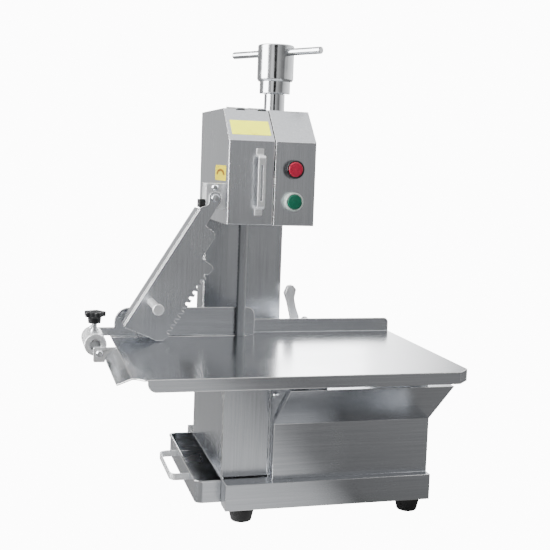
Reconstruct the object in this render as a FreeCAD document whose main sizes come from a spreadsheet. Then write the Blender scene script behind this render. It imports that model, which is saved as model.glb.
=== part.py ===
import FreeCAD, Part
import math
import os
import re
from FreeCAD import Placement, Rotation, Vector

# Table-top bone saw: a band saw with two wheels one above the other, a steel table,
# a swinging meat pusher, a thickness gauge and a waste tray under the lower wheel.
# The machine is laid out from the front left corner of its plinth (x right, y back, z up)
# and every piece is then shifted by centre_x and centre_y, so that the origin lies on the
# floor under the middle of the whole machine.

doc = FreeCAD.newDocument("BoneSaw")

sizes = {
    # whole machine
    "plinth_width": 350, "plinth_depth": 350, "plinth_height": 42.5, "foot_height": 22,
    "foot_inset": 21,
    "sheet": 1.5, "heavy_sheet": 3, "knob_reach": 222.5, "table_front": -200,
    # lower body
    "body_back": 293, "cabinet_front": 16.4, "cabinet_left": 80, "cabinet_top": 232,
    "fold_height": 156, "flare_front": -72, "door_front": 34.5, "door_width": 75.6,
    "housing_top": 250, "divider_left": 76.8,
    # column and head
    "head_width": 144, "head_front": 52, "head_bottom": 474, "head_top": 661,
    "slope_foot": 609, "slope_top": 105, "split": 75.2, "column_front": 236, "gap": 1.1,
    # wheels and band
    "wheel_radius": 85, "wheel_middle": 188, "upper_centre": 562, "lower_centre": 158,
    "band_left": 30, "band_width": 16, "band_thickness": 0.6, "band_gap": 0.3,
    "tooth_pitch": 6.35, "tooth_depth": 2.2, "rim_left": 32, "rim_width": 17,
    # tension screw and its handle
    "screw_x": 107, "screw_radius": 8, "sleeve_radius": 17.8, "sleeve_top": 693,
    "collar_radius": 26.5, "collar_top": 714.5, "hub_radius": 31.5, "hub_top": 777,
    "bar_height": 764, "bar_length": 202, "bar_radius": 6.2, "bar_angle": -57,
    # table
    "table_top": 285.2, "table_sheet": 2, "table_left": -174, "table_right": 315.5,
    "table_back": 134, "lip_height": 17.5, "lip_left": -155, "corner_cut": 20,
    "slot_width": 3.6, "slot_right": 50, "stop_left": 66, "stop_height": 23,
    # gauge
    "gauge_front": 110, "gauge_sheet": 3, "gauge_left": -169, "gauge_right": 65,
    "gauge_height": 47, "rod_x": -205.5, "rod_height": 289, "rod_radius": 9,
    "sleeve_front": 22, "sleeve_back": 94, "gauge_sleeve_radius": 17, "knob_y": 40,
    "set_screw_y": 76,
    # pusher
    "pivot_x": -19, "pivot_z": 516, "pusher_front": 58, "pusher_sheet": 3,
    "pusher_flange": 36, "peg_length": 83, "peg_radius": 6,
    # push buttons
    "button_x": 107, "stop_z": 565.5, "start_z": 513.4, "gland_height": 110,
    # motor
    "motor_radius": 64, "motor_left": 100, "motor_right": 250, "shaft_radius": 12,
    # tray
    "tray_out": 41, "tray_length": 266, "tray_front": 37, "tray_back": 313,
    "tray_floor": 24.3, "tray_rim": 61, "tray_sheet": 1.2,
}

sheet = doc.addObject("Spreadsheet::Sheet", "Sizes")
for row, (alias, number) in enumerate(sizes.items(), 1):
    sheet.set(f"A{row}", alias)
    sheet.set(f"B{row}", str(number))
    sheet.setAlias(f"B{row}", alias)
centres = {
    "centre_x": "=(plinth_width - knob_reach) / 2",
    "centre_y": "=(plinth_depth + table_front) / 2",
}
for row, (alias, text) in enumerate(centres.items(), len(sizes) + 1):
    sheet.set(f"A{row}", alias)
    sheet.set(f"B{row}", text)
    sheet.setAlias(f"B{row}", alias)
doc.recompute()

aliases = list(sizes) + list(centres)
size = {alias: float(sheet.get(alias)) for alias in aliases}
nodes = {}
seats = {}

turns = {
    "x": Rotation(Vector(0, 1, 0), 90),
    "-x": Rotation(Vector(0, 1, 0), -90),
    "y": Rotation(Vector(1, 0, 0), -90),
    "-y": Rotation(Vector(1, 0, 0), 90),
    "z": Rotation(),
    "-z": Rotation(Vector(1, 0, 0), 180),
}


def formula(text):
    # an expression over the sheet's aliases, such as "plinth_width - 2 * sheet"
    def named(word):
        return "Sizes." + word.group(0) if word.group(0) in aliases else word.group(0)
    return re.sub(r"[a-z]\w*", named, str(text))


def seat(thing, x, y, z, shift=False):
    seats[thing.Name] = (x, y, z)
    off_x = " - centre_x" if shift else ""
    off_y = " - centre_y" if shift else ""
    thing.setExpression("Placement.Base.x", formula(f"{x}{off_x}"))
    thing.setExpression("Placement.Base.y", formula(f"{y}{off_y}"))
    thing.setExpression("Placement.Base.z", formula(z))
    return thing


def node(label, thing):
    # marks a finished piece and moves it to the machine's own origin
    x, y, z = seats.get(thing.Name, ("0", "0", "0"))
    seat(thing, x, y, z, shift=True)
    thing.Label = label
    nodes[label] = thing
    return thing


def box(name, corner, spans):
    thing = doc.addObject("Part::Box", name)
    for side, span in zip(("Length", "Width", "Height"), spans):
        thing.setExpression(side, formula(span))
    return seat(thing, *corner)


def rod(name, start, axis, radius, length):
    thing = doc.addObject("Part::Cylinder", name)
    thing.setExpression("Radius", formula(radius))
    thing.setExpression("Height", formula(length))
    thing.Placement = Placement(Vector(), turns[axis])
    return seat(thing, *start)


def cut(name, base, tools):
    tool = tools[0] if len(tools) == 1 else fuse(name + "_tools", tools)
    thing = doc.addObject("Part::Cut", name)
    thing.Base = base
    thing.Tool = tool
    return thing


def fuse(name, pieces):
    thing = doc.addObject("Part::MultiFuse", name)
    thing.Shapes = pieces
    thing.Refine = True
    return thing


def group(name, pieces):
    thing = doc.addObject("Part::Compound", name)
    thing.Links = pieces
    return thing


def rounded(points):
    # corner points (x, y) or (x, y, radius) as one closed chain of lines and arcs
    corners = []
    for place, point in enumerate(points):
        here = Vector(point[0], point[1], 0)
        radius = point[2] if len(point) > 2 else 0
        before = Vector(*points[place - 1][:2], 0)
        after = Vector(*points[(place + 1) % len(points)][:2], 0)
        if not radius:
            corners.append((here, None, here))
            continue
        back = (before - here).normalize()
        ahead = (after - here).normalize()
        half = back.getAngle(ahead) / 2
        reach = radius / math.tan(half)
        centre = here + (back + ahead).normalize() * (radius / math.sin(half))
        middle = centre + (here - centre).normalize() * radius
        corners.append((here + back * reach, middle, here + ahead * reach))
    chain = []
    for place, (first, middle, last) in enumerate(corners):
        if middle:
            chain.append(Part.Arc(first, middle, last))
        following = corners[(place + 1) % len(corners)][0]
        if last.distanceToPoint(following) > 1e-6:
            chain.append(Part.LineSegment(last, following))
    return chain


def sketch_on(body, plane, name, points, holes=()):
    sketch = body.newObject("Sketcher::SketchObject", name)
    origin = [part for part in body.Origin.OriginFeatures if part.Role == plane + "_Plane"][0]
    sketch.AttachmentSupport = (origin, [""])
    sketch.MapMode = "FlatFace"
    if points:
        sketch.addGeometry(rounded(points), False)
    for x, y, radius in holes:
        sketch.addGeometry(Part.Circle(Vector(x, y, 0), Vector(0, 0, 1), radius), False)
    return sketch


def plate(name, plane, points, thickness, corner=("0", "0", "0"), holes=()):
    # a flat piece: an outline in the plane, padded towards +X, +Y or +Z
    body = doc.addObject("PartDesign::Body", name)
    pad = body.newObject("PartDesign::Pad", name + "_pad")
    pad.Profile = sketch_on(body, plane, name + "_outline", points, holes)
    pad.setExpression("Length", formula(thickness))
    pad.Reversed = plane == "XZ"
    body.Tip = pad
    return seat(body, *corner)


def turned(name, points, start, axis="z"):
    # a turned piece: the half profile (radius, along) spun about its axis
    body = doc.addObject("PartDesign::Body", name)
    spin = body.newObject("PartDesign::Revolution", name + "_turn")
    profile = sketch_on(body, "XZ", name + "_profile", points)
    spin.Profile = profile
    spin.ReferenceAxis = (profile, ["V_Axis"])
    spin.Angle = 360
    body.Tip = spin
    body.Placement = Placement(Vector(), turns[axis])
    return seat(body, *start)


def drilled(body, name, circles):
    # pockets right through a turned piece, square to its axis plane
    pocket = body.newObject("PartDesign::Pocket", name)
    pocket.Profile = sketch_on(body, "XY", name + "_circles", [], circles)
    pocket.Type = 1
    pocket.Midplane = True
    body.Tip = pocket
    return body


# ---- plinth, feet and tray runners

def build_plinth():
    outer = box("plinth_outer", ("0", "0", "foot_height"),
                ("plinth_width", "plinth_depth", "plinth_height"))
    hollow = box("plinth_hollow", ("sheet", "sheet", "foot_height - 1"),
                 ("plinth_width - 2 * sheet", "plinth_depth - 2 * sheet", "plinth_height - 1"))
    mouth = box("plinth_mouth", ("-1", "34", "foot_height - 1"), ("5", "282", "plinth_height - 1"))
    chute = box("plinth_chute", ("8", "62", "foot_height"), ("62", "170", "plinth_height + 1"))
    shell = cut("plinth_shell", outer, [hollow, mouth, chute])
    flanges = []
    for number, edge in enumerate(("sheet", "plinth_depth - sheet - 48")):
        flanges.append(box(f"plinth_flange_{number}", ("sheet", edge, "foot_height"),
                           ("plinth_width - 2 * sheet", "48", "2")))
    bores = []
    for number, (x, y) in enumerate(foot_places()):
        bores.append(rod(f"foot_bore_{number}", (x, y, "foot_height - 1"), "z", "4", "6"))
    joined = fuse("plinth_joined", [shell] + flanges)
    node("base_plinth", cut("plinth_body", joined, bores))


def foot_places():
    left, right = "31", "plinth_width - 31"
    front, back = "foot_inset", "plinth_depth - foot_inset"
    return [(left, front), (right, front), (left, back), (right, back)]


def build_feet():
    feet = []
    bolts = []
    for number, (x, y) in enumerate(foot_places()):
        points = [(4.2, 8), (9, 8), (9, 0), (15.5, 0), (17, 1.5), (21, 19), (21, 22), (4.2, 22)]
        feet.append(turned(f"foot_{number}", points, (x, y, "0")))
        shank = [(0, 3), (7.5, 3), (7.5, 8), (4, 8), (4, 30), (0, 30)]
        bolts.append(turned(f"foot_bolt_{number}", shank, (x, y, "0")))
    node("rubber_feet", group("feet", feet))
    node("foot_bolts", group("foot_bolt_set", bolts))


# ---- waste tray

def build_tray():
    width = size["tray_back"] - size["tray_front"]
    length = size["tray_length"]
    wall = size["tray_sheet"]
    outside = [(0, 0, 12), (length, 0, 4), (length, width, 4), (0, width, 12)]
    inside = [(wall, wall, 11), (length - wall, wall, 3), (length - wall, width - wall, 3),
              (wall, width - wall, 11)]
    rim = [(-2, -0.2, 12), (length, -0.2, 4), (length, width + 0.2, 4), (-2, width + 0.2, 12)]
    corner = ("-tray_out", "tray_front", "tray_floor")
    body = plate("tray_block", "XY", outside, "tray_rim - tray_floor", corner)
    hollow = plate("tray_hollow", "XY", inside, "tray_rim", ("-tray_out", "tray_front",
                                                             "tray_floor + tray_sheet"))
    hem = plate("tray_hem", "XY", rim, "2.4", ("-tray_out", "tray_front", "tray_rim - 2.4"))
    joined = fuse("tray_joined", [body, hem])
    node("waste_tray", cut("tray_body", joined, [hollow]))
    reach = 32
    span = 130
    strap = 2.5
    outline = [(0, 0), (-reach, 0, 13), (-reach, span, 13), (0, span), (0, span - strap),
               (-reach + strap, span - strap, 10.5), (-reach + strap, strap, 10.5), (0, strap)]
    node("tray_handle", plate("tray_strap", "XY", outline, "11.5", ("-tray_out", "101", "42")))


# ---- lower wheel housing, door and motor cabinet

def housing_outline(front):
    floor = size["foot_height"] + size["plinth_height"]
    back, top = size["body_back"], size["housing_top"]
    return [(front, floor), (back, floor), (back, top), (front, top)]


def build_housing():
    base = "foot_height + plinth_height"
    spigot = (size["wheel_middle"], size["lower_centre"], 40)
    divider = plate("housing_divider", "YZ", housing_outline(36), "heavy_sheet",
                    ("divider_left", "0", "0"), [spigot])
    wall = plate("housing_wall", "YZ", housing_outline(42), "sheet")
    roof = box("housing_roof", ("0", "36", "housing_top - sheet"),
               ("divider_left + 1", "body_back - 36", "sheet"))
    rear = box("housing_rear", ("0", "body_back - sheet", base),
               ("divider_left + 1", "sheet", f"housing_top - ({base})"))
    slots = [box("housing_front_slot", ("26", "98", "housing_top - 5"), ("24", "10", "10")),
             box("housing_rear_slot", ("26", "266", "housing_top - 5"), ("24", "16", "10"))]
    node("wheel_housing", cut("housing_body", fuse("housing_joined", [divider, wall, roof, rear]),
                              slots))


def build_lower_door():
    # a shallow sheet tray that turns on two short pins behind its left edge
    base = "foot_height + plinth_height + 2"
    tall = "(housing_top - foot_height - plinth_height - 4)"
    pieces = [box("lower_panel", ("0", "door_front", base), ("door_width", "sheet", tall)),
              box("lower_left_fold", ("0", "door_front", base), ("sheet", "4", tall)),
              box("lower_right_fold", ("door_width - sheet", "door_front", base),
                  ("sheet", "12", tall))]
    for number, height in enumerate((base, f"{base} + {tall} - 3")):
        pieces.append(box(f"lower_lug_{number}", ("0", "door_front", height), ("9", "4.6", "3")))
    bore = rod("lower_pin_bore", ("3.2", "door_front + 2.9", f"{base} - 1"), "z", "1.26",
               f"{tall} + 2")
    node("lower_door", cut("lower_door_body", fuse("lower_door_joined", pieces), [bore]))
    pins = [rod("lower_pin_0", ("3.2", "door_front + 2.9", "foot_height + plinth_height"), "z",
                "1.2", "4.2"),
            rod("lower_pin_1", ("3.2", "door_front + 2.9", "housing_top - sheet - 3.2"), "z",
                "1.2", "3.2")]
    node("lower_door_pins", group("lower_pin_pair", pins))


def cabinet_side(inset):
    # side view of the motor cabinet, with the apron that leans out to the front
    base = size["foot_height"] + size["plinth_height"] - (1 if inset else 0)
    front = size["cabinet_front"] + inset
    back = size["body_back"] - inset
    top = size["cabinet_top"] - inset
    lean = inset * 0.42
    return [(front, base), (back, base), (back, top),
            (size["flare_front"] + inset * 2.3, top), (front, size["fold_height"] + lean)]


def build_cabinet():
    outer = plate("cabinet_outer", "YZ", cabinet_side(0), "plinth_width - cabinet_left",
                  ("cabinet_left", "0", "0"))
    inner = plate("cabinet_inner", "YZ", cabinet_side(size["sheet"]),
                  "plinth_width - cabinet_left - 2 * sheet", ("cabinet_left + sheet", "0", "0"))
    spigot = rod("cabinet_spigot", ("cabinet_left - 1", "wheel_middle", "lower_centre"), "x",
                 "72", "4")
    gland = rod("cabinet_gland_bore", ("300", "body_back - 4", "gland_height"), "y", "8.2", "8")
    slots = []
    for number in range(7):
        height = f"{95 + 14 * number}"
        slots.append(box(f"vent_side_{number}", ("plinth_width - 4", "110", height), ("8", "90", "5")))
        slots.append(box(f"vent_back_{number}", ("150", "body_back - 4", height), ("90", "8", "5")))
    screw_bore = rod("cabinet_screw_bore", ("divider_left", "6", "207"), "x", "2.5", "8")
    column_hole = box("cabinet_column_hole", ("86", "242", "cabinet_top - 4"), ("50", "44", "8"))
    tools = [inner, spigot, gland, screw_bore, column_hole] + slots
    node("motor_cabinet", cut("cabinet_body", outer, tools))


# ---- column

def build_column():
    outer = box("column_outer", ("1.9", "column_front", "cabinet_top"),
                ("head_width - 1.9", "body_back - column_front", "head_bottom - cabinet_top"))
    hollow = box("column_hollow", ("0", "column_front + sheet", "cabinet_top - 1"),
                 ("head_width - sheet", "body_back - column_front - 2 * sheet",
                  "head_bottom - cabinet_top + 2"))
    notch = box("column_notch", ("0", "column_front - 1", "cabinet_top - 1"),
                ("cabinet_left", "body_back - column_front + 2", "housing_top - cabinet_top + 1"))
    node("column", cut("column_body", outer, [hollow, notch]))
    face = box("column_face", ("0", "column_front", "housing_top"),
               ("sheet", "body_back - column_front", "head_bottom - housing_top - gap"))
    lips = []
    for number, y in enumerate(("column_front + sheet + 0.3", "body_back - 2 * sheet - 0.3")):
        lips.append(box(f"column_lip_{number}", ("sheet", y, "housing_top + 4"),
                        ("12", "sheet", "head_bottom - housing_top - 10")))
    node("column_cover", fuse("column_cover_body", [face] + lips))


# ---- head

def head_side(inset, open_back=False, open_base=False):
    base = size["head_bottom"] - (2 if open_base else 0) + (0 if open_base else inset)
    back = size["body_back"] + (2 if open_back else -inset)
    front = size["head_front"] + inset
    top = size["head_top"] - inset
    lean = inset * math.tan(math.radians(22.5))
    return [(front, base), (back, base), (back, top), (size["slope_top"] + lean, top),
            (front, size["slope_foot"] - lean)]


def build_head_frame():
    clearance = size["sheet"] + 0.3
    axle_slot = [(172, 534, 15.5), (204, 534, 15.5), (204, 584, 15.5), (172, 584, 15.5)]
    divider = plate("head_divider", "YZ", head_side(clearance + 0.6), "heavy_sheet",
                    ("split + 1", "0", "0"))
    window = plate("head_axle_slot", "YZ", axle_slot, "heavy_sheet + 4", ("split - 1", "0", "0"))
    floor = box("head_floor", ("2", "head_front + 2", "head_bottom"),
                ("head_width - 4", "body_back - head_front - 4", "2"))
    back = box("head_back", ("2", "body_back - sheet - 0.5", "head_bottom"),
               ("head_width - 4", "sheet", "head_top - head_bottom - 2"))
    roof = box("head_roof", ("2", "slope_top + 4", "head_top - sheet"),
               ("split - 2.4", "body_back - slope_top - 4.5", "sheet"))
    rib = box("head_roof_rib", ("split - sheet - 0.4", "slope_top + 4", "head_top - 8"),
              ("sheet", "body_back - slope_top - 8", "8"))
    rib_foot = box("head_rib_foot", ("split - 0.6", "slope_top + 4", "head_top - 8"),
                   ("1.9", "body_back - slope_top - 8", "6"))
    carrier = box("head_carrier", ("split + 2", "136", "head_top - 8"), ("65", "155", "5"))
    wheel_opening = box("head_wheel_opening", ("0", "94", "head_bottom - 1"), ("64", "192", "4"))
    screw_bore = rod("head_screw_bore", ("screw_x", "wheel_middle", "head_top - 10"), "z",
                     "screw_radius + 0.05", "10")
    tools = [window, wheel_opening, screw_bore]
    joined = fuse("head_frame_joined", [divider, floor, back, roof, rib, rib_foot,
                                       carrier])
    node("head_frame", cut("head_frame_body", joined, tools))


def build_head_shells():
    side = head_side(0)
    side[0] = (size["head_front"] + size["sheet"] + 0.5, side[0][1])
    side[3] = (side[3][0] + 3.2, side[3][1])
    side[4] = (size["head_front"] + size["sheet"] + 0.5, size["slope_foot"] - 2.9)
    node("head_side_wall", plate("side_wall", "YZ", side, "sheet"))
    front = [(52, 475, 0.6), (53.5, 475, 0.6), (53.5, 608.4, 2), (106.4, 660, 0.6),
             (105.2, 661.1, 0.6), (52, 609, 3)]
    panel = plate("head_door_panel", "YZ", front, "split - gap")
    fold = box("head_door_fold", ("split - gap - sheet", "head_front + 0.4", "head_bottom + 3"),
               ("sheet", "12", "slope_foot - head_bottom - 6"))
    knuckles = []
    for number in range(2):
        knuckles.append(rod(f"head_knuckle_{number}", (f"{4 + 36 * number}", "slope_top + 1.2",
                                                       "head_top + 0.6"), "x", "1.7", "16"))
    bore = rod("head_knuckle_bore", ("-1", "slope_top + 1.2", "head_top + 0.6"), "x", "1.05", "80")
    joined = fuse("head_door_joined", [panel, fold] + knuckles)
    tools = [bore]
    for number in range(2):
        tools.append(box(f"head_door_gap_{number}", (f"{20.4 + 36 * number}", "slope_top - 2",
                                                     "head_top - 2.6"), ("15.2", "9", "7")))
    node("head_door", cut("head_door_body", joined, tools))
    pin = rod("head_pin", ("5", "slope_top + 1.2", "head_top + 0.6"), "x", "1", "66")
    arms = []
    for number in range(2):
        start = f"{21 + 36 * number}"
        barrel = rod(f"head_fixed_{number}", (start, "slope_top + 1.2", "head_top + 0.6"), "x",
                     "1.7", "14")
        strip = box(f"head_fixed_leaf_{number}", (start, "slope_top + 1.2", "head_top"),
                    ("14", "12", "1"))
        arms += [barrel, strip]
    node("head_door_hinge", fuse("head_hinge_body", [pin] + arms))
    outer = plate("cover_outer", "YZ", head_side(0), "head_width - split - gap",
                  ("split + gap", "0", "0"))
    inner = plate("cover_inner", "YZ", head_side(size["sheet"], True, True),
                  "head_width - split - sheet + 1", ("split - 1", "0", "0"))
    holes = [rod("cover_stop_bore", ("button_x", "head_front - 2", "stop_z"), "y", "11.2", "6"),
             rod("cover_start_bore", ("button_x", "head_front - 2", "start_z"), "y", "11.2", "6"),
             rod("cover_screw_bore", ("screw_x", "wheel_middle", "head_top - 4"), "z",
                 "screw_radius + 3", "8")]
    node("control_cover", cut("cover_body", outer, [inner] + holes))


def build_door_handle():
    # strap handle, its two pads flat on the door and its grip standing off
    length, pad, stand, strap = 107, 14, 19, 3
    outline = [(0, 0), (-strap, 0), (-strap, pad - strap, 2), (-stand, pad - strap, 6),
               (-stand, length - pad + strap, 6), (-strap, length - pad + strap, 2),
               (-strap, length), (0, length), (0, length - pad, 3),
               (-stand + strap, length - pad, 3), (-stand + strap, pad, 3), (0, pad, 3)]
    strap_body = plate("door_grip", "YZ", outline, "12", ("44", "head_front", "490"))
    slot = box("door_grip_slot", ("48.2", "head_front - 23", "514"), ("3.6", "8", "57"))
    node("head_door_handle", cut("door_grip_body", strap_body, [slot]))


def build_labels():
    low, high = 0.18, 0.62
    rise = size["head_top"] - size["slope_foot"]
    run = size["slope_top"] - size["head_front"]
    foot = (size["head_front"] + run * low, size["slope_foot"] + rise * low)
    head = (size["head_front"] + run * high, size["slope_foot"] + rise * high)
    out = 0.25
    outline = [foot, head, (head[0] - out, head[1] + out), (foot[0] - out, foot[1] + out)]
    node("blank_label", plate("label", "YZ", outline, "64", ("6", "0", "0")))
    patch = [(72, 543, 4), (156, 543, 4), (156, 568, 4), (72, 568, 4)]
    node("rotation_sticker", plate("sticker", "YZ", patch, "0.3", ("-0.3", "0", "0")))


# ---- push buttons

def build_buttons():
    blocks = []
    for name, height in (("stop", "stop_z"), ("start", "start_z")):
        face = ("button_x", "head_front", height)
        ring = [(12.25, 0), (15, 0), (15, 11), (14, 13), (12.6, 13), (12.25, 12.4)]
        node(f"{name}_bezel", turned(f"{name}_ring", ring, face, "-y"))
        cap = [(0, 5), (12, 5), (12, 13), (10.8, 14.2), (0, 14.8)]
        crown = turned(f"{name}_crown", cap, face, "-y")
        plunger = rod(f"{name}_plunger", ("button_x", "head_front + 9", height), "-y", "4.9", "15")
        node(f"{name}_button", fuse(f"{name}_cap", [crown, plunger]))
        block = box(f"{name}_block", ("button_x - 14", "head_front + 10", f"{height} - 19"),
                    ("28", "34", "38"))
        neck = rod(f"{name}_neck", face, "y", "11", "10")
        bore = rod(f"{name}_neck_bore", ("button_x", "head_front - 1", height), "y", "5", "22")
        blocks.append(cut(f"{name}_contact", fuse(f"{name}_contact_joined", [block, neck]), [bore]))
    node("contact_blocks", group("contact_pair", blocks))


# ---- wheels, band and tension gear

def wheel_profile(hub_radius, bore):
    rim = size["wheel_radius"]
    wide = size["rim_width"]
    return [(bore, -2), (hub_radius, -2), (hub_radius, 5), (rim - 12, 5), (rim - 12, 0, 1),
            (rim, 0, 1.5), (rim, wide - 2.5), (rim + 2, wide - 2.5), (rim + 2, wide),
            (rim - 12, wide), (rim - 12, 12), (hub_radius, 12), (hub_radius, 26), (bore, 26)]


def lightening_holes(count, ring, radius):
    spread = [math.radians(360 / count * turn) for turn in range(count)]
    return [(ring * math.cos(angle), ring * math.sin(angle), radius) for angle in spread]


def build_wheels():
    upper = turned("upper_wheel_body", wheel_profile(27, 21),
                   ("rim_left", "wheel_middle", "upper_centre"), "x")
    doc.recompute()
    node("upper_wheel", drilled(upper, "upper_wheel_holes", lightening_holes(5, 50, 11)))
    lower = turned("lower_wheel_body", wheel_profile(24, size["shaft_radius"]),
                   ("rim_left", "wheel_middle", "lower_centre"), "x")
    doc.recompute()
    node("lower_wheel", drilled(lower, "lower_wheel_holes", lightening_holes(5, 50, 11)))
    rings = []
    for number, start in enumerate(("rim_left", "rim_left + 13")):
        points = [(10.05, 0), (21, 0), (21, 12), (10.05, 12)]
        rings.append(turned(f"upper_bearing_{number}", points,
                            (start, "wheel_middle", "upper_centre"), "x"))
    node("upper_bearings", group("bearing_pair", rings))


def build_band():
    # a flat endless band: two straight runs with teeth and two half turns round the wheels
    inner = size["wheel_radius"] + size["band_gap"]
    outer = inner + size["band_thickness"]
    left, wide = size["band_left"], size["band_width"]
    low, high = size["lower_centre"], size["upper_centre"]
    middle = size["wheel_middle"]
    depth, pitch = size["tooth_depth"], size["tooth_pitch"]
    teeth = int((high - low) / pitch)
    step = (high - low) / teeth

    def run(y):
        points = [Vector(left + wide, y, low), Vector(left + wide, y, high)]
        for tooth in range(teeth, 0, -1):
            top = low + tooth * step
            points.append(Vector(left + depth, y, top))
            points.append(Vector(left, y, top - step + 0.9))
            points.append(Vector(left + depth * 0.35, y, top - step + 0.3))
        points.append(Vector(left + depth, y, low))
        points.append(points[0])
        face = Part.Face(Part.makePolygon(points))
        return face.extrude(Vector(0, size["band_thickness"], 0))

    def half_turn(height, start):
        ring = Part.makeCylinder(outer, wide - depth, Vector(left + depth, middle, height),
                                 Vector(1, 0, 0))
        core = Part.makeCylinder(inner, wide, Vector(left, middle, height), Vector(1, 0, 0))
        keep = Part.makeBox(wide + 2, 2 * outer + 2, outer + 2,
                            Vector(left - 1, middle - outer - 1, start))
        return ring.cut(core).common(keep)

    loop = run(middle - outer).fuse([run(middle + inner), half_turn(high, high),
                                     half_turn(low, low - outer - 2)])
    band = doc.addObject("Part::Feature", "band")
    band.Shape = loop.removeSplitter()
    node("saw_blade", band)


def build_tension():
    axle = [(0, -8), (9, -8), (10, -7), (10, 90), (0, 90)]
    shaft = turned("upper_shaft", axle, ("rim_left", "wheel_middle", "upper_centre"), "x")
    node("upper_axle", shaft)
    block = box("carriage_block", ("84", "158", "upper_centre - 27"), ("40", "60", "76"))
    bores = [rod("carriage_axle_bore", ("80", "wheel_middle", "upper_centre"), "x", "10", "60"),
             rod("carriage_screw_bore", ("screw_x", "wheel_middle", "upper_centre + 14"), "z",
                 "screw_radius + 0.05", "50")]
    for number, y in enumerate(("168", "208")):
        bores.append(rod(f"carriage_guide_bore_{number}", ("screw_x", y, "upper_centre - 40"), "z",
                         "6.05", "110"))
    node("tension_carriage", cut("carriage_body", block, bores))
    guides = []
    for number, y in enumerate(("168", "208")):
        guides.append(rod(f"guide_rod_{number}", ("screw_x", y, "head_bottom + 2"), "z", "6",
                          "head_top - head_bottom - 10"))
    node("guide_rods", group("guides", guides))
    node("tension_screw", rod("tension_rod", ("screw_x", "wheel_middle", "upper_centre + 24"), "z",
                              "screw_radius", "hub_top - upper_centre - 44"))
    radius = size["screw_radius"]
    tall = size["sleeve_top"] - size["head_top"]
    tube = [(radius + 0.05, 0), (size["sleeve_radius"], 0), (size["sleeve_radius"], tall),
            (radius + 0.05, tall)]
    node("screw_sleeve", turned("sleeve", tube, ("screw_x", "wheel_middle", "head_top")))
    build_tension_handle()


def build_tension_handle():
    radius = size["screw_radius"]
    step = size["collar_top"] - size["sleeve_top"]
    tall = size["hub_top"] - size["sleeve_top"]
    collar, wide = size["collar_radius"], size["hub_radius"]
    hub = [(radius, 0.3), (collar - 1, 0.3), (collar, 1.3), (collar, step), (wide - 2.5, step),
           (wide, step + 4), (wide, tall, 3), (0, tall), (0, tall - 20), (radius, tall - 20)]
    block = turned("hub_block", hub, ("screw_x", "wheel_middle", "sleeve_top"))
    node("handle_hub", cut("hub_body", block, [bar_solid("hub_bore", 0)]))
    node("handle_bar", bar_solid("cross_bar", 0.8))


def bar_solid(name, crown):
    half = size["bar_length"] / 2
    points = [(0, -half), (size["bar_radius"] - crown, -half),
              (size["bar_radius"], -half + crown + 0.01), (size["bar_radius"], half - crown - 0.01),
              (size["bar_radius"] - crown, half), (0, half)]
    if not crown:
        points = [(0, -half), (size["bar_radius"], -half), (size["bar_radius"], half), (0, half)]
    bar = turned(name, points, ("screw_x", "wheel_middle", "bar_height"))
    along = Rotation(Vector(0, 0, 1), size["bar_angle"]).multiply(turns["x"])
    bar.Placement = Placement(Vector(), along)
    return seat(bar, "screw_x", "wheel_middle", "bar_height")


# ---- blade guides and scraper

def build_guides():
    guides = []
    for name, height in (("upper", "head_bottom + 3"), ("lower", "housing_top + 1")):
        block = box(f"{name}_guide_block", ("34", "92", height), ("38", "22", "20"))
        slot = box(f"{name}_guide_slot", ("30", "102", height), ("16.6", "1.4", "20"))
        guides.append(cut(f"{name}_guide", block, [slot]))
    node("blade_guides", group("guide_pair", guides))
    arm = box("scraper_arm", ("52", "wheel_middle - 14", "66"), ("24.8", "28", "3"))
    tongue = box("scraper_tongue", ("30", "wheel_middle - 14", "69"), ("46", "28", "1.6"))
    node("wheel_scraper", fuse("scraper", [arm, tongue]))


# ---- motor

def build_motor():
    radius = size["motor_radius"]
    left, right = size["motor_left"], size["motor_right"]
    centre = ("0", "wheel_middle", "lower_centre")
    casing = [(46, left), (radius, left)]
    for fin in range(12):
        start = left + 12 + fin * 10.5
        casing += [(radius, start), (radius + 4, start), (radius + 4, start + 5),
                   (radius, start + 5)]
    shaft = size["shaft_radius"]
    casing += [(radius, right + 6), (50, right + 12), (shaft + 0.05, right + 12),
               (shaft + 0.05, right + 3), (40, right + 3), (46, right)]
    node("motor_casing", turned("casing", casing, centre, "x"))
    bell = [(shaft + 0.05, 79.8), (70, 79.8), (70, 86), (radius, 92), (radius, left),
            (50, left), (46, 88), (shaft + 0.05, 88)]
    node("motor_end_bell", turned("end_bell", bell, centre, "x"))
    rotor = [(0, 26), (shaft, 26), (shaft, 108), (44, 108), (44, right - 8), (shaft, right - 8),
             (shaft, right + 10), (0, right + 10)]
    node("motor_shaft", turned("rotor", rotor, centre, "x"))
    gland = [(5, -6), (8, -6), (8, 0), (12, 0), (12, 7), (9, 14), (9, 18), (5, 18)]
    node("cable_gland", turned("gland", gland, ("300", "body_back", "gland_height"), "y"))


# ---- table

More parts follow.
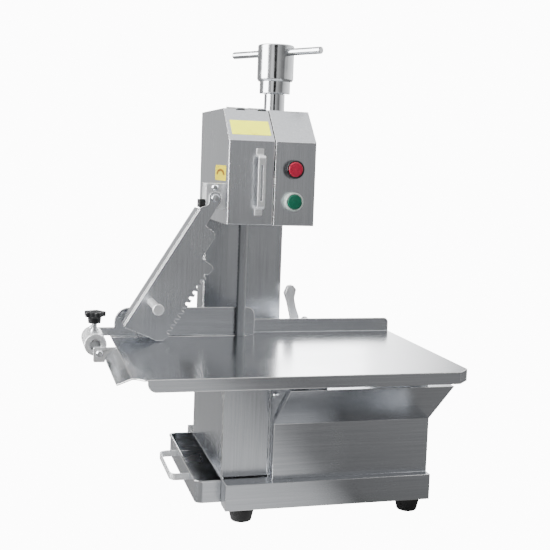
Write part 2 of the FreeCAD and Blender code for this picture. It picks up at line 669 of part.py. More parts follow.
def build_table():
    left, right = size["table_left"], size["table_right"]
    front, back = size["table_front"], size["table_back"]
    cut_off = size["corner_cut"]
    notch = size["lip_left"]
    outline = [(left, front + 12), (left + 5, front + 10), (notch - 4, front), (right - cut_off, front),
               (right, front + cut_off), (right, back), (left, back)]
    top = plate("table_plate", "XY", outline, "table_sheet", ("0", "0", "table_top - table_sheet"))
    lip_low = size["table_top"] - size["lip_height"]
    level = size["table_top"] - size["table_sheet"] / 2
    lip = [(notch, level), (notch, lip_low, 12), (right - cut_off, lip_low), (right - cut_off, level)]
    front_lip = plate("table_front_lip", "XZ", lip, "table_sheet", ("0", "table_front", "0"))
    side = [(front + cut_off, level), (front + cut_off, lip_low), (back, lip_low), (back, level)]
    side_lip = plate("table_side_lip", "YZ", side, "table_sheet", ("table_right - table_sheet", "0", "0"))
    slant = box("table_corner_lip", ("0", "0", "0"), (f"{cut_off * math.sqrt(2):.4f}", "table_sheet",
                                                     "lip_height - 1"))
    slant.Placement = Placement(Vector(), Rotation(Vector(0, 0, 1), 45))
    seat(slant, "table_right - corner_cut", "table_front", "table_top - lip_height")
    flap_outline = [(-22, front + 22, 4), (-1, front + 12), (0.3, front + 12), (0.3, 12), (-1, 12),
                    (-16, 12 - 4, 4), (-22, -14, 5)]
    flap = plate("table_flap", "XY", flap_outline, "table_sheet")
    flap.Placement = Placement(Vector(), Rotation(Vector(0, 1, 0), -28))
    seat(flap, "table_left", "0", "table_top - table_sheet")
    tab = box("table_tab", ("148", "table_back - 1", "table_top - table_sheet"),
              ("46", "96", "table_sheet"))
    joined = fuse("table_joined", [top, front_lip, side_lip, slant, flap, tab])
    slot = box("table_slot", ("table_left - 5", "wheel_middle - wheel_radius - band_gap - 2.1",
                              "table_top - 5"),
               ("slot_right - table_left + 5", "slot_width", "10"))
    post_hole = box("table_post_hole", ("160", "209", "table_top - 5"), ("12", "12", "10"))
    stud_hole = rod("table_stud_hole", ("186", "215", "table_top - 5"), "z", "4", "10")
    node("table_plate", cut("table_body", joined, [slot, post_hole, stud_hole]))
    stop_low = size["table_top"]
    stop_high = size["table_top"] + size["stop_height"]
    stop = [(size["stop_left"], stop_low), (right, stop_low), (right, stop_high, 8),
            (size["stop_left"], stop_high)]
    node("table_back_stop", plate("back_stop", "XZ", stop, "table_sheet",
                                  ("0", "table_back - table_sheet", "0")))


def build_table_support():
    low, high = size["fold_height"] + 9, size["table_top"] - size["table_sheet"] - 3
    arm = [(16, low), (16, high), (-135, high), (-135, high - 6), (-52, 227, 60), (-8, 190, 40)]
    web = plate("support_arm", "YZ", arm, "heavy_sheet", ("divider_left", "0", "0"))
    bore = rod("support_screw_bore", ("divider_left - 1", "6", "207"), "x", "2.5", "8")
    flange = box("support_flange", ("divider_left - 14", "-135", "table_top - table_sheet - 3"),
                 ("17", "151", "3"))
    node("table_bracket", cut("bracket_body", fuse("bracket_joined_up", [web, flange]), [bore]))
    rails = []
    for number, x in enumerate(("112", "280")):
        outer = box(f"rail_outer_{number}", (x, "-60", "cabinet_top"),
                    ("30", "180", "table_top - table_sheet - cabinet_top"))
        hollow = box(f"rail_hollow_{number}", (f"{x} + 2", "-61", "cabinet_top + 2"),
                     ("26", "182", "table_top - table_sheet - cabinet_top - 4"))
        rails.append(cut(f"rail_{number}", outer, [hollow]))
    node("table_rails", group("rails", rails))


def build_screws():
    # dome-head screws of one size, each placed where the underside of its head sits
    places = [(("divider_left", "6", "207"), "-x"),
              (("rod_x + 6", "sleeve_front - 3.2", "rod_height - 12.4"), "-y"),
              (("rod_x - 1", "set_screw_y", "rod_height + gauge_sleeve_radius"), "z"),
              (("pivot_x", "64", "pivot_z + 16.5"), "-y")]
    points = [(0, -7), (2.5, -7), (2.5, 0), (5.5, 0), (5.5, 1.6), (3.2, 4), (0, 4)]
    pieces = []
    for number, (place, axis) in enumerate(places):
        pieces.append(turned(f"dome_screw_{number}", points, place, axis))
    node("dome_screws", group("dome_screw_set", pieces))


def build_clamp():
    post = box("post_block", ("162", "211", "cabinet_top"), ("8", "8", "62"))
    pin = rod("post_pin", ("166", "206.5", "cabinet_top + 56"), "y", "2.5", "17")
    node("clamp_post", fuse("post_body", [post, pin]))
    lever = [(159, 291.4, 1), (164.4, 286.2, 2), (173, 286.2, 4), (173, 298, 5),
             (166.5, 316, 20), (163, 332, 8), (166, 348, 4), (160, 356, 4), (151, 354, 4),
             (145.5, 341, 5), (152, 322, 30), (157.5, 300, 20)]
    blade = plate("lever_blade", "XZ", lever, "14", ("0", "208", "0"))
    fork = box("lever_fork", ("150", "210.7", "280"), ("30", "8.6", "24"))
    eye = rod("lever_eye", ("166", "200", "cabinet_top + 56"), "y", "2.56", "30")
    node("clamp_lever", cut("lever_body", blade, [fork, eye]))
    low = size["table_top"] - size["cabinet_top"]
    bolt = [(0, 0), (4, 0), (4, low), (8, low), (8, low + 4), (6.6, low + 9), (3.4, low + 12),
            (0, low + 13)]
    node("tab_bolt", turned("dome_bolt", bolt, ("186", "215", "cabinet_top")))


# ---- thickness gauge

def build_gauge():
    left, right = size["gauge_left"], size["gauge_right"]
    low = size["table_top"] + 0.5
    high = size["table_top"] + size["gauge_height"]
    outline = [(left, low), (right, low), (right, high, 14), (left, high, 24)]
    plate_body = plate("gauge_sheet_body", "XZ", outline, "gauge_sheet", ("0", "gauge_front", "0"))
    tab = [(left - 36, low + 1, 1), (left + 1, low + 1), (left + 1, low + 14), (left - 36, low + 14, 1)]
    tab_body = plate("gauge_tab", "XZ", tab, "gauge_sheet + 3", ("0", "gauge_front", "0"))
    bore = rod("gauge_tab_bore", ("rod_x", "gauge_front - 1", "rod_height"), "y", "rod_radius", "9")
    joined = fuse("gauge_joined", [plate_body, tab_body])
    node("gauge_plate", cut("gauge_body", joined, [bore]))
    length = size["gauge_front"] + 8 - size["sleeve_front"] - 1
    radius = size["rod_radius"]
    shaft = [(0, 0), (radius - 1, 0), (radius, 1), (radius, length), (0, length)]
    node("gauge_rod", turned("gauge_shaft", shaft, ("rod_x", "sleeve_front + 1", "rod_height"), "y"))
    long = size["sleeve_back"] - size["sleeve_front"]
    tube = [(radius + 0.06, 0, 0.5), (16, 0), (17, 1), (17, long - 1), (16, long),
            (radius + 0.06, long)]
    sleeve = turned("gauge_tube", tube, ("rod_x", "sleeve_front", "rod_height"), "y")
    stud_bore = rod("sleeve_stud_bore", ("rod_x - 1", "knob_y", "rod_height"), "z", "4.1", "30")
    set_bore = rod("sleeve_set_bore", ("rod_x - 1", "set_screw_y", "rod_height"), "z", "2.5", "30")
    screw_bore = rod("sleeve_screw_bore", ("rod_x + 6", "sleeve_front - 1", "rod_height - 12.4"),
                     "y", "2.5", "16")
    node("gauge_sleeve", cut("gauge_sleeve_body", sleeve, [stud_bore, set_bore, screw_bore]))
    build_gauge_bracket()
    build_knob()


def build_gauge_bracket():
    top = size["table_top"] + 0.5
    web = [(-209, top - 23, 3), (-191, top - 23, 2), (-191, top - 18), (-174.5, top - 4),
           (-174.5, top), (-209, top, 3)]
    face = plate("bracket_face", "XZ", web, "heavy_sheet", ("0", "sleeve_front - 3.2", "0"),
                 [(size["rod_x"] + 6, size["rod_height"] - 12.4, 2.5)])
    tail = [(-176, top - 4), (-176, top - 9), (-140, top - 9), (-140, top - 4)]
    tongue = plate("bracket_tail", "XZ", tail, "heavy_sheet", ("0", "sleeve_front - 3.2", "0"))
    shelf = box("bracket_shelf", ("-172", "sleeve_front - 3.2", "table_top - table_sheet - 3"),
                ("32", "46", "3"))
    node("gauge_bracket", fuse("gauge_bracket_body", [face, tongue, shelf]))


def build_knob():
    base = size["rod_height"] + size["gauge_sleeve_radius"]
    place = ("rod_x - 1", "knob_y", f"{base}")
    lobes = []
    core = turned("knob_core", [(4, 14), (9.6, 14), (10.4, 23), (14, 25), (14, 32, 2), (0, 34.5),
                                (0, 30), (4, 30)], place)
    for number in range(5):
        turn = math.radians(72 * number)
        lobe = turned(f"knob_lobe_{number}", [(0, 24.5), (4.4, 24.5, 1), (4.9, 32, 2), (0, 32.5)],
                      (f"rod_x - 1 + {12.6 * math.cos(turn):.4f}",
                       f"knob_y + {12.6 * math.sin(turn):.4f}", f"{base}"))
        lobes.append(lobe)
    node("clamp_knob", fuse("knob", [core] + lobes))
    stud = [(0, -7.8), (3.5, -7.8), (4, -7), (4, 0.1), (7.6, 0.1), (7.6, 1.4), (6.2, 2), (5.8, 5),
            (4, 5), (4, 30), (0, 30)]
    node("knob_stud", turned("knob_bolt", stud, place))


# ---- pusher

def tooth_row(first, last, count):
    # hook-shaped teeth from the toe of the pusher up to its tip
    along = Vector(last[0] - first[0], last[1] - first[1], 0)
    step = along * (1 / count)
    inward = Vector(-step.y, step.x, 0).normalize() * 6
    points = []
    for tooth in range(count):
        start = Vector(first[0], first[1], 0) + step * tooth
        points.append((start.x, start.y))
        for along_part, in_part in ((0.46, 0.0), (0.40, 0.55), (0.52, 1.0), (0.78, 0.95),
                                    (0.9, 0.45)):
            spot = start + step * along_part + inward * in_part
            points.append((spot.x, spot.y))
    points.append(last)
    return points


def build_pusher():
    arm_top = (size["pivot_x"], size["pivot_z"])
    teeth = tooth_row((-89, 293.5), (-26.6, 392.6), 11)
    outline = [(-41.5, 501), (-158.5, 311.5, 2), (-157.5, 308.5, 2), (-120.7, 293.5, 12),
               (-108.8, 287.2, 8), (-97.1, 287.2, 6)]
    outline += teeth
    outline += [(-15.5, 404, 7), (-37.5, 419.5, 1.5), (-14.5, 459, 9), (-33.5, 471, 4),
                (-24, 487), (-8.8, 512.5, 3), (-9.3, 526, 9), (-28.6, 526, 9), (-29.5, 505, 6)]
    body = plate("pusher_outline", "XZ", outline, "pusher_sheet", ("0", "pusher_front", "0"))
    length = math.hypot(-41.5 + 158.5, 501 - 311.5)
    lean = math.degrees(math.atan2(158.5 - 41.5, 501 - 311.5))
    flange = box("pusher_flange_body", ("0", "0", "0"),
                 ("3", "pusher_flange + 1", f"{length - 4:.4f}"))
    flange.Placement = Placement(Vector(), Rotation(Vector(0, 1, 0), lean))
    seat(flange, "-160.1", "pusher_front + 1", "313.2")
    bore = rod("pusher_bore", ("pivot_x", "pusher_front - 1", "pivot_z"), "y", "4.06", "6")
    peg_bore = rod("pusher_peg_bore", ("-117.5", "pusher_front - 1", "350"), "y", "4", "6")
    joined = fuse("pusher_joined", [body, flange])
    node("pusher_plate", cut("pusher_body", joined, [bore, peg_bore]))
    peg = size["peg_radius"]
    far = size["peg_length"]
    grip = [(0, -5), (4, -5), (4, 0), (peg, 0), (peg, far - 6), (8.6, far - 5, 1), (8.6, far, 1.5),
            (0, far)]
    node("pusher_handle", turned("peg", grip, ("-117.5", "pusher_front", "350"), "-y"))


def build_pusher_bracket():
    back = box("bracket_pad", ("-5", "66", "498"), ("5", "28", "41"))
    block = box("bracket_block", ("-33.4", "64", "497"), ("28.4", "30", "42"))
    hollow = box("bracket_hollow", ("-29.4", "70", "501"), ("24.4", "30", "34"))
    bores = [rod("bracket_bolt_bore", ("pivot_x", "60", "pivot_z"), "y", "4", "12"),
             rod("bracket_screw_bore", ("pivot_x", "60", "pivot_z + 16.5"), "y", "2.5", "12")]
    shell = cut("bracket_shell", block, [hollow])
    joined = fuse("bracket_joined", [back, shell])
    node("pusher_bracket", cut("pusher_bracket_body", joined, bores))
    # rubber block on the bracket that the top of the pusher's flange comes to rest against
    node("pusher_bumper", box("bumper", ("-43", "64", "500"), ("9.6", "23", "13")))
    bolt = [(0, -13), (4, -13), (4, -2.7), (7, -2.7), (7, 0), (4, 0), (4, 3.4), (7, 3.4), (7, 5),
            (5.4, 8), (0, 8.6)]
    node("pivot_bolt", turned("pivot", bolt, ("pivot_x", "61.3", "pivot_z"), "-y"))


def check_and_write():
    doc.recompute()
    for thing in doc.Objects:
        if "Invalid" in thing.State or "Error" in thing.State:
            raise RuntimeError(f"{thing.Name} failed: {thing.State}")
    for label, thing in nodes.items():
        if thing.Shape.isNull() or not thing.Shape.isValid():
            raise RuntimeError(f"{label} has no valid shape")
    os.makedirs("parts", exist_ok=True)
    whole = FreeCAD.BoundBox()
    for label, thing in nodes.items():
        thing.Shape.exportStep(f"parts/{label}.step")
        whole.add(thing.Shape.BoundBox)
        print(f"{label}: {len(thing.Shape.Solids)} solids, {thing.Shape.Volume / 1000:.1f} cm3")
    print(f"{len(nodes)} nodes, box {whole}")


build_plinth()
build_feet()
build_tray()
build_housing()
build_lower_door()
build_cabinet()
build_column()
build_head_frame()
build_head_shells()
build_door_handle()
build_labels()
build_buttons()
build_wheels()
build_band()
build_tension()
build_guides()
build_motor()
build_table()
build_table_support()
build_clamp()
build_gauge()
build_pusher()
build_pusher_bracket()
build_screws()
check_and_write()
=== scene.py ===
import bpy
import math
from mathutils import Matrix, Vector

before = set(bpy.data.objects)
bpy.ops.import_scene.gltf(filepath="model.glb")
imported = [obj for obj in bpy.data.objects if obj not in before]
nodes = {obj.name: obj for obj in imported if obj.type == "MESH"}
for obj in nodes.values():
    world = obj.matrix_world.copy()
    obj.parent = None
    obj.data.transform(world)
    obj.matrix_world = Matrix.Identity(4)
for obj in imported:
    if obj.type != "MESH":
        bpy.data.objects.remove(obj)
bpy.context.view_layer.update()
mm = 0.001

# the machine is measured from the front left corner of its plinth; centre is that corner's offset
centre = Vector((63.75, 75, 0))


def place(x, y, z):
    return (Vector((x, y, z)) - centre) * mm


def linear(colour):
    # an sRGB hex colour as linear values for a shader
    parts = [int(colour[i:i + 2], 16) / 255 for i in (1, 3, 5)]
    return [p / 12.92 if p <= 0.04045 else ((p + 0.055) / 1.055) ** 2.4 for p in parts] + [1]


def addNode(tree, kind, settings=None, inputs=None):
    # one node with its settings; inputs are values or the output sockets that feed them
    node = tree.nodes.new(kind)
    for name, value in (settings or {}).items():
        setattr(node, name, value)
    for name, value in (inputs or {}).items():
        if isinstance(value, bpy.types.NodeSocket):
            tree.links.new(value, node.inputs[name])
        else:
            node.inputs[name].default_value = value
    return node


def newMaterial(name):
    material = bpy.data.materials.new(name)
    material.use_nodes = True
    tree = material.node_tree
    shader = tree.nodes["Principled BSDF"]
    where = addNode(tree, "ShaderNodeTexCoord").outputs["Object"]
    return material, tree, shader, where


def ramp(tree, source, stops):
    # a colour ramp from (position, colour or grey level) stops
    node = addNode(tree, "ShaderNodeValToRGB", None, {"Fac": source})
    elements = node.color_ramp.elements
    while len(elements) < len(stops):
        elements.new(0.5)
    for element, (position, value) in zip(elements, stops):
        element.position = position
        element.color = linear(value) if isinstance(value, str) else (value, value, value, 1)
    return node.outputs["Color"]


def streaks(tree, where, grain, across, along, detail=3):
    # noise drawn out along the axes named in grain; across and along are a streak's size in mm
    scale = [1000 / (along if axis in grain else across) for axis in "XYZ"]
    mapped = addNode(tree, "ShaderNodeMapping", None, {"Vector": where, "Scale": scale})
    return addNode(tree, "ShaderNodeTexNoise", None,
                   {"Vector": mapped.outputs["Vector"], "Scale": 1, "Detail": detail,
                    "Roughness": 0.6}).outputs["Fac"]


def bump(tree, height, strength, distance, normal=None):
    inputs = {"Height": height, "Strength": strength, "Distance": distance}
    if normal:
        inputs["Normal"] = normal
    return addNode(tree, "ShaderNodeBump", None, inputs).outputs["Normal"]


def roundedEdge(tree, radius):
    # the normal of an edge rounded to a radius in mm, and a mask that is 1 on the edge, where the
    # brushed sheet gets its painted highlight
    normal = addNode(tree, "ShaderNodeBevel", {"samples": 6}, {"Radius": radius * mm}).outputs["Normal"]
    flat = addNode(tree, "ShaderNodeNewGeometry").outputs["Normal"]
    same = addNode(tree, "ShaderNodeVectorMath", {"operation": "DOT_PRODUCT"},
                   {0: normal, 1: flat}).outputs["Value"]
    mask = addNode(tree, "ShaderNodeMapRange", None,
                   {"Value": same, "From Min": 0.998, "From Max": 0.94}).outputs["Result"]
    return normal, mask


def mixed(tree, factor, first, second):
    # two colours mixed; each is a socket or a linear colour
    return addNode(tree, "ShaderNodeMix", {"data_type": "RGBA"},
                   {0: factor, 6: first, 7: second}).outputs[2]


# brushed stainless sheet: fine straight grain, faint cloudiness and softer handled patches, and a
# painted white highlight along its edges
brushed = {"colour": "#D2D4D8", "dark": "#C4C7CB", "roughness": (0.2, 0.28), "grain": 0.9,
           "grainLength": 70, "edge": 1.8, "edgeHighlight": "#FFFFFF"}


def brushedSteel(name, grain, roughness=None):
    look = dict(brushed)
    if roughness:
        look["roughness"] = roughness
    material, tree, shader, where = newMaterial(name)
    fine = streaks(tree, where, grain, look["grain"], look["grainLength"])
    wide = streaks(tree, where, grain, 2.5, 140, 4)
    cloud = addNode(tree, "ShaderNodeTexNoise", None,
                    {"Vector": where, "Scale": 14, "Detail": 4}).outputs["Fac"]
    low, high = look["roughness"]
    wear = addNode(tree, "ShaderNodeMath", {"operation": "MULTIPLY_ADD"},
                   {0: fine, 1: 0.55, 2: cloud}).outputs["Value"]
    tint = ramp(tree, wide, [(0.3, look["dark"]), (0.7, look["colour"])])
    shade = ramp(tree, wear, [(0.45, low), (1.0, high)])
    normal, edge = roundedEdge(tree, look["edge"])
    # painted highlight: the base colour turns white along the edges so they look lit
    tree.links.new(mixed(tree, edge, tint, linear(look["edgeHighlight"])), shader.inputs["Base Color"])
    tree.links.new(shade, shader.inputs["Roughness"])
    shader.inputs["Metallic"].default_value = 1
    tree.links.new(bump(tree, fine, 0.006, 0.0001, normal), shader.inputs["Normal"])
    return material


def polishedSteel():
    # turned and polished bar: nearly mirror bright with faint hairlines and finger smudges
    material, tree, shader, where = newMaterial("polished steel fittings")
    smudge = addNode(tree, "ShaderNodeTexNoise", None,
                     {"Vector": where, "Scale": 60, "Detail": 5}).outputs["Fac"]
    hair = streaks(tree, where, "Z", 0.4, 30)
    tree.links.new(ramp(tree, smudge, [(0.35, 0.1), (0.75, 0.24)]), shader.inputs["Roughness"])
    tree.links.new(ramp(tree, smudge, [(0.3, "#C9CBCE"), (0.7, "#DADCDE")]),
                   shader.inputs["Base Color"])
    shader.inputs["Metallic"].default_value = 1
    tree.links.new(bump(tree, hair, 0.06, 0.0001), shader.inputs["Normal"])
    return material


def satinSteel():
    # tumbled bright fittings: soft pale shine that takes its grey from the whole room
    material, tree, shader, where = newMaterial("bright steel tumbled")
    peen = addNode(tree, "ShaderNodeTexNoise", None,
                   {"Vector": where, "Scale": 500, "Detail": 3}).outputs["Fac"]
    tree.links.new(ramp(tree, peen, [(0.3, "#EEF0F2"), (0.7, "#FFFFFF")]),
                   shader.inputs["Base Color"])
    tree.links.new(ramp(tree, peen, [(0.3, 0.42), (0.7, 0.55)]), shader.inputs["Roughness"])
    shader.inputs["Metallic"].default_value = 1
    tree.links.new(bump(tree, peen, 0.08, 0.0001), shader.inputs["Normal"])
    return material


def castAluminium():
    # sand-cast aluminium, lightly blasted: a dull pebbled face with paler high spots
    material, tree, shader, where = newMaterial("cast aluminium blasted")
    pebble = addNode(tree, "ShaderNodeTexNoise", None,
                     {"Vector": where, "Scale": 900, "Detail": 3}).outputs["Fac"]
    cloud = addNode(tree, "ShaderNodeTexNoise", None,
                    {"Vector": where, "Scale": 30, "Detail": 4}).outputs["Fac"]
    tree.links.new(ramp(tree, cloud, [(0.3, "#9C9FA2"), (0.7, "#BDBFC1")]),
                   shader.inputs["Base Color"])
    tree.links.new(ramp(tree, pebble, [(0.3, 0.38), (0.7, 0.52)]), shader.inputs["Roughness"])
    shader.inputs["Metallic"].default_value = 1
    tree.links.new(bump(tree, pebble, 0.25, 0.0002), shader.inputs["Normal"])
    return material


# x of the blade's tooth tips and of its back, in mm
band = {"teeth": 30, "back": 46}


def bandSteel():
    # ground spring steel band: darker across the tooth side, brightest along the back edge
    material, tree, shader, where = newMaterial("ground spring steel band")
    lines = streaks(tree, where, "Z", 0.9, 120)
    across = addNode(tree, "ShaderNodeSeparateXYZ", None, {"Vector": where}).outputs["X"]
    teeth = addNode(tree, "ShaderNodeMapRange", None,
                    {"Value": across, "From Min": place(band["teeth"], 0, 0).x,
                     "From Max": place(band["back"], 0, 0).x}).outputs["Result"]
    tree.links.new(ramp(tree, teeth, [(0.0, "#3A3D41"), (0.22, "#6E7276"), (0.3, "#A9ADB1"),
                                      (0.86, "#B7BABE"), (1.0, "#E4E6E8")]),
                   shader.inputs["Base Color"])
    tree.links.new(ramp(tree, lines, [(0.3, 0.26), (0.7, 0.36)]), shader.inputs["Roughness"])
    shader.inputs["Metallic"].default_value = 1
    tree.links.new(bump(tree, lines, 0.1, 0.0001), shader.inputs["Normal"])
    return material


def moulded(name, colour, pale, roughness, grainSize, depth):
    # moulded rubber or plastic: colour barely varies, the fine texture breaks up the shine
    material, tree, shader, where = newMaterial(name)
    grain = addNode(tree, "ShaderNodeTexNoise", None,
                    {"Vector": where, "Scale": 1000 / grainSize, "Detail": 3}).outputs["Fac"]
    dust = addNode(tree, "ShaderNodeTexNoise", None,
                   {"Vector": where, "Scale": 45, "Detail": 5}).outputs["Fac"]
    tree.links.new(ramp(tree, dust, [(0.4, colour), (0.85, pale)]), shader.inputs["Base Color"])
    low, high = roughness
    tree.links.new(ramp(tree, grain, [(0.3, low), (0.7, high)]), shader.inputs["Roughness"])
    tree.links.new(bump(tree, grain, 0.2, depth), shader.inputs["Normal"])
    return material


# the blank label's colours, how large its faint rows of marks are in mm, and the strength of its
# painted glow
label = {"film": "#EFF232", "marks": "#A88A2C", "row": 2.6, "glow": 1.6}


def labelFilm():
    # printed film with a painted glow that makes it seem to shine a little, with worn rows of marks
    # that say nothing
    material, tree, shader, where = newMaterial("cream label film printed")
    rows = streaks(tree, where, "X", label["row"], 9, 2)
    dust = addNode(tree, "ShaderNodeTexNoise", None, {"Vector": where, "Scale": 45}).outputs["Fac"]
    printed = ramp(tree, rows, [(0.6, label["film"]), (0.68, label["marks"])])
    tree.links.new(printed, shader.inputs["Base Color"])
    # painted glow: the film emits its own colour so it looks brighter than the lamps make it
    tree.links.new(printed, shader.inputs["Emission Color"])
    shader.inputs["Emission Strength"].default_value = label["glow"]
    shader.inputs["Specular IOR Level"].default_value = 0.2
    tree.links.new(ramp(tree, dust, [(0.3, 0.3), (0.7, 0.42)]), shader.inputs["Roughness"])
    tree.links.new(bump(tree, rows, 0.1, 0.00003), shader.inputs["Normal"])
    return material


# the sticker on the side wall: middle of its half ring, the ring's radii and the field round it
# in mm, how far it is drawn out sideways, how soft its edge is, its colours and its painted glow
arc = {"middle": (0, 114, 552), "inner": 6, "outer": 10, "field": 20, "stretch": 0.3,
       "soft": 0.02, "film": "#C6B600", "ink": "#6E4406", "glow": 0.04}


def stickerFilm():
    # glossy yellow film with a plain dark half ring and a faint painted glow
    material, tree, shader, where = newMaterial("yellow sticker film printed")
    offset = addNode(tree, "ShaderNodeVectorMath", {"operation": "SUBTRACT"},
                     {0: where, 1: place(*arc["middle"])}).outputs["Vector"]
    flat = addNode(tree, "ShaderNodeVectorMath", {"operation": "MULTIPLY"},
                   {0: offset, 1: (0, arc["stretch"], 1)}).outputs["Vector"]
    away = addNode(tree, "ShaderNodeVectorMath", {"operation": "LENGTH"},
                   {0: flat}).outputs["Value"]
    far = addNode(tree, "ShaderNodeMapRange", None,
                  {"Value": away, "From Max": arc["field"] * mm}).outputs["Result"]
    inner, outer, soft = arc["inner"] / arc["field"], arc["outer"] / arc["field"], arc["soft"]
    ring = ramp(tree, far, [(inner - soft, 0), (inner + soft, 1), (outer - soft, 1),
                            (outer + soft, 0)])
    height = addNode(tree, "ShaderNodeSeparateXYZ", None, {"Vector": offset}).outputs["Z"]
    upper = addNode(tree, "ShaderNodeMath", {"operation": "GREATER_THAN"},
                    {0: height, 1: 0}).outputs["Value"]
    inked = addNode(tree, "ShaderNodeMath", {"operation": "MULTIPLY"},
                    {0: ring, 1: upper}).outputs["Value"]
    tint = mixed(tree, inked, linear(arc["film"]), linear(arc["ink"]))
    dust = addNode(tree, "ShaderNodeTexNoise", None, {"Vector": where, "Scale": 60}).outputs["Fac"]
    tree.links.new(tint, shader.inputs["Base Color"])
    # painted glow: the film emits a little of its own colour so it looks brighter
    tree.links.new(tint, shader.inputs["Emission Color"])
    shader.inputs["Emission Strength"].default_value = arc["glow"]
    shader.inputs["Specular IOR Level"].default_value = 0.05
    tree.links.new(ramp(tree, dust, [(0.3, 0.24), (0.7, 0.38)]), shader.inputs["Roughness"])
    tree.links.new(bump(tree, dust, 0.1, 0.00003), shader.inputs["Normal"])
    return material


print("materials")
finishes = {
    "sheetUp": brushedSteel("brushed stainless sheet grain upright", "Z"),
    "sheetAcross": brushedSteel("brushed stainless sheet grain level", "XY"),
    "tableSheet": brushedSteel("fine brushed stainless table", "X", (0.14, 0.22)),
    "polished": polishedSteel(),
    "satin": satinSteel(),
    "cast": castAluminium(),
    "band": bandSteel(),
    "rubber": moulded("black rubber moulded", "#161617", "#2A2A2B", (0.5, 0.7), 0.8, 0.0002),
    "black": moulded("black plastic moulded", "#17181A", "#26272A", (0.28, 0.42), 0.5, 0.0001),
    "pale": moulded("pale plastic ring moulded", "#C6D4CC", "#D5DED8", (0.3, 0.4), 0.6, 0.0001),
    "red": moulded("red plastic cap gloss", "#B4163A", "#BE2A48", (0.14, 0.24), 0.6, 0.00005),
    "green": moulded("green plastic cap gloss", "#04634A", "#0E6E54", (0.14, 0.24), 0.6, 0.00005),
    "cream": labelFilm(),
    "yellow": stickerFilm(),
}

# finish, edge radius in mm (0 where the finish rounds its own edges) and the nodes
dressed = [
    ("sheetUp", 0, ["wheel_housing", "lower_door", "column", "column_cover", "head_side_wall",
                    "head_door", "control_cover", "head_door_hinge", "pusher_plate"]),
    ("sheetAcross", 0, ["motor_cabinet", "base_plinth", "table_rails", "gauge_plate",
                        "table_back_stop", "table_bracket", "wheel_scraper", "waste_tray"]),
    ("tableSheet", 0, ["table_plate"]),
    ("satin", 0.6, ["tray_handle", "head_door_handle", "pusher_handle", "gauge_sleeve",
                    "gauge_bracket", "clamp_lever", "pusher_bracket"]),
    ("polished", 0.6, ["screw_sleeve", "handle_hub", "handle_bar", "tab_bolt", "gauge_rod",
                       "pivot_bolt", "dome_screws", "knob_stud", "guide_rods", "tension_screw",
                       "upper_axle", "lower_door_pins", "clamp_post", "foot_bolts",
                       "upper_bearings"]),
    ("cast", 0.6, ["upper_wheel", "lower_wheel", "tension_carriage", "motor_casing",
                   "motor_end_bell", "motor_shaft", "head_frame"]),
    ("band", 0, ["saw_blade"]),
    ("rubber", 0.8, ["rubber_feet", "pusher_bumper"]),
    ("black", 0.6, ["clamp_knob", "stop_bezel", "contact_blocks", "cable_gland", "blade_guides"]),
    ("pale", 0.5, ["start_bezel"]),
    ("red", 0.6, ["stop_button"]),
    ("green", 0.6, ["start_button"]),
    ("cream", 0, ["blank_label"]),
    ("yellow", 0, ["rotation_sticker"]),
]


# small fittings: points within weld mm are joined, then edges sharper than angle are rounded
rounding = {"weld": 0.01, "segments": 2, "angle": 32, "flatness": 80}


def dress(name, finish, radius):
    node = nodes[name]
    node.data.materials.clear()
    node.data.materials.append(finishes[finish])
    if not radius:
        return
    weld = node.modifiers.new("weld", "WELD")
    weld.merge_threshold = rounding["weld"] * mm
    edge = node.modifiers.new("edge", "BEVEL")
    edge.width = radius * mm
    edge.segments = rounding["segments"]
    edge.limit_method = "ANGLE"
    edge.angle_limit = math.radians(rounding["angle"])
    edge.use_clamp_overlap = False
    even = node.modifiers.new("even", "WEIGHTED_NORMAL")
    even.mode = "FACE_AREA"
    even.weight = rounding["flatness"]


for finish, radius, names in dressed:
    for name in names:
        dress(name, finish, radius)
print("nodes dressed")

# walls of the light tent round the machine: plan line and heights in metres, then brightness
walls = {
    "left front": ((-3, -3), (-3, -1.2), (0, 4), 0.5, 0.8),
    "left strip": ((-3, -1.2), (-3, 1.2), (0, 4), 14, 14),
    "left back": ((-3, 1.2), (-3, 3), (0, 4), 0.8, 0.45),
    "back left": ((-3, 3), (-0.5, 3), (0, 4), 0.28, 0.7),
    "back middle": ((-0.5, 3), (0.2, 3), (0, 4), 0.7, 0.45),
    "back dark": ((0.2, 3), (0.62, 3), (0, 4), 0.1, 0.06),
    "back edge": ((0.62, 3), (0.8, 3), (0, 4), 0.3, 9),
    "back right": ((0.8, 3), (1.35, 3), (0, 4), 10, 8),
    "back far": ((1.35, 3), (2.0, 3), (0, 4), 5, 0.4),
    "back end": ((2.0, 3), (3, 3), (0, 4), 0.4, 0.4),
    "right": ((3, -3), (3, 3), (0, 4), 0.5, 2.5),
    "front left": ((-3, -3), (-1.5, -3), (0, 4), 1.2, 1.2),
    "front dark": ((-1.5, -3), (-0.3, -3), (0, 4), 0.02, 0.02),
    "front middle": ((-0.3, -3), (0.45, -3), (0.45, 4), 0.75, 0.6),
    "front low": ((-0.3, -3), (0.45, -3), (0, 0.45), 0.5, 0.32),
    "front head": ((0.45, -3), (0.95, -3), (0.3, 4), 0.4, 0.52),
    "front column": ((0.45, -3), (0.95, -3), (0, 0.3), 0.16, 0.3),
    "front cabinet": ((0.95, -3), (1.6, -3), (0, 4), 0.4, 0.26),
    "front right": ((1.6, -3), (3, -3), (0, 4), 0.3, 0.2),
}
# strips of ground under the tent: left and right edge in metres, then brightness at each
ground = [(-3, -0.1, 0.3, 0.4), (-0.1, 0.12, 0.95, 0.75), (0.12, 0.19, 0.75, 0.2),
          (0.2, 0.6, 0.18, 0.3), (0.6, 3, 0.3, 0.2)]
tent = {"reach": 3, "height": 4, "groundDepth": 0.01, "ceiling": (2.6, 1.0)}
studio = {"background": 12, "floorGlow": 12, "floorReach": 40}


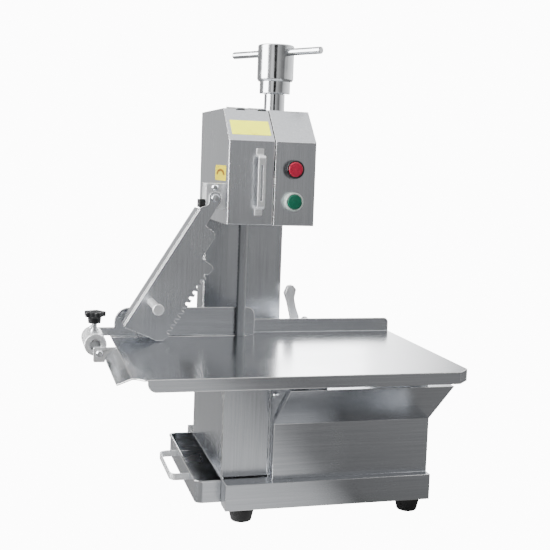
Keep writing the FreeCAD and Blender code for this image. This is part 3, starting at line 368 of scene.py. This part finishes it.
def card(name, corners, material):
    mesh = bpy.data.meshes.new(name)
    mesh.from_pydata(corners, [], [(0, 1, 2, 3)])
    mesh.materials.append(material)
    board = bpy.data.objects.new(name, mesh)
    bpy.context.scene.collection.objects.link(board)
    return board


def glow(name, corners, levels):
    # a wall whose brightness runs evenly from its first corner to its second
    material, tree, shader, where = newMaterial(name)
    start, end = Vector(corners[0]), Vector(corners[1])
    run = end - start
    offset = addNode(tree, "ShaderNodeVectorMath", {"operation": "SUBTRACT"},
                     {0: where, 1: start}).outputs["Vector"]
    along = addNode(tree, "ShaderNodeVectorMath", {"operation": "DOT_PRODUCT"},
                    {0: offset, 1: run / run.length_squared}).outputs["Value"]
    low, high = levels
    level = addNode(tree, "ShaderNodeMapRange", None,
                    {"Value": along, "To Min": low, "To Max": high}).outputs["Result"]
    shader.inputs["Base Color"].default_value = (0, 0, 0, 1)
    shader.inputs["Specular IOR Level"].default_value = 0
    shader.inputs["Emission Color"].default_value = linear("#FFFFFF")
    tree.links.new(level, shader.inputs["Emission Strength"])
    return material


def tentCard(name, corners, levels):
    wall = card("tent " + name, corners, glow("tent cloth " + name, corners, levels))
    wall.visible_camera = False
    wall.visible_shadow = False


for side, (start, end, (bottom, top), low, high) in walls.items():
    corners = [(*start, bottom), (*end, bottom), (*end, top), (*start, top)]
    tentCard(side, corners, (low, high))
reach, top, under = tent["reach"], tent["height"], -tent["groundDepth"]
tentCard("ceiling", [(-reach, -reach, top), (-reach, reach, top), (reach, reach, top),
                     (reach, -reach, top)], tent["ceiling"])
for left, right, low, high in ground:
    corners = [(left, -reach, under), (right, -reach, under), (right, reach, under),
               (left, reach, under)]
    tentCard(f"ground {left}", corners, (low, high))

world = bpy.data.worlds.new("studio")
bpy.context.scene.world = world
world.use_nodes = True
background = world.node_tree.nodes["Background"]
background.inputs["Color"].default_value = linear("#FFFFFF")
background.inputs["Strength"].default_value = studio["background"]
world.cycles_visibility.glossy = False
world.cycles_visibility.diffuse = False
wide = studio["floorReach"]
floorCorners = [(-wide, -wide, 0), (wide, -wide, 0), (wide, wide, 0), (-wide, wide, 0)]
floor = card("floor", floorCorners, glow("white lit floor", floorCorners,
                                         (studio["floorGlow"], studio["floorGlow"])))
floor.visible_glossy = False
floor.visible_diffuse = False
print("studio")

# camera height and tilt are those of a person stood at the left of the machine
shot = {"spot": (-325.4, -1427.2, 577.5), "turn": 15.3477, "tilt": 5.3223, "roll": -2.0773,
        "lens": 62.28, "sensor": 36, "shiftY": -0.0455}


def addCamera():
    turn, tilt, roll = (math.radians(shot[key]) for key in ("turn", "tilt", "roll"))
    forward = Vector((math.sin(turn) * math.cos(tilt), math.cos(turn) * math.cos(tilt),
                      -math.sin(tilt)))
    right = Vector((math.cos(turn), -math.sin(turn), 0))
    up = right.cross(forward)
    across = right * math.cos(roll) - up * math.sin(roll)
    upright = up * math.cos(roll) + right * math.sin(roll)
    lens = bpy.data.cameras.new("camera")
    lens.lens = shot["lens"]
    lens.sensor_width = shot["sensor"]
    lens.shift_y = shot["shiftY"]
    camera = bpy.data.objects.new("camera", lens)
    bpy.context.scene.collection.objects.link(camera)
    turned = Matrix((across, upright, -forward)).transposed().to_4x4()
    camera.matrix_world = Matrix.Translation(place(*shot["spot"])) @ turned
    bpy.context.scene.camera = camera


addCamera()
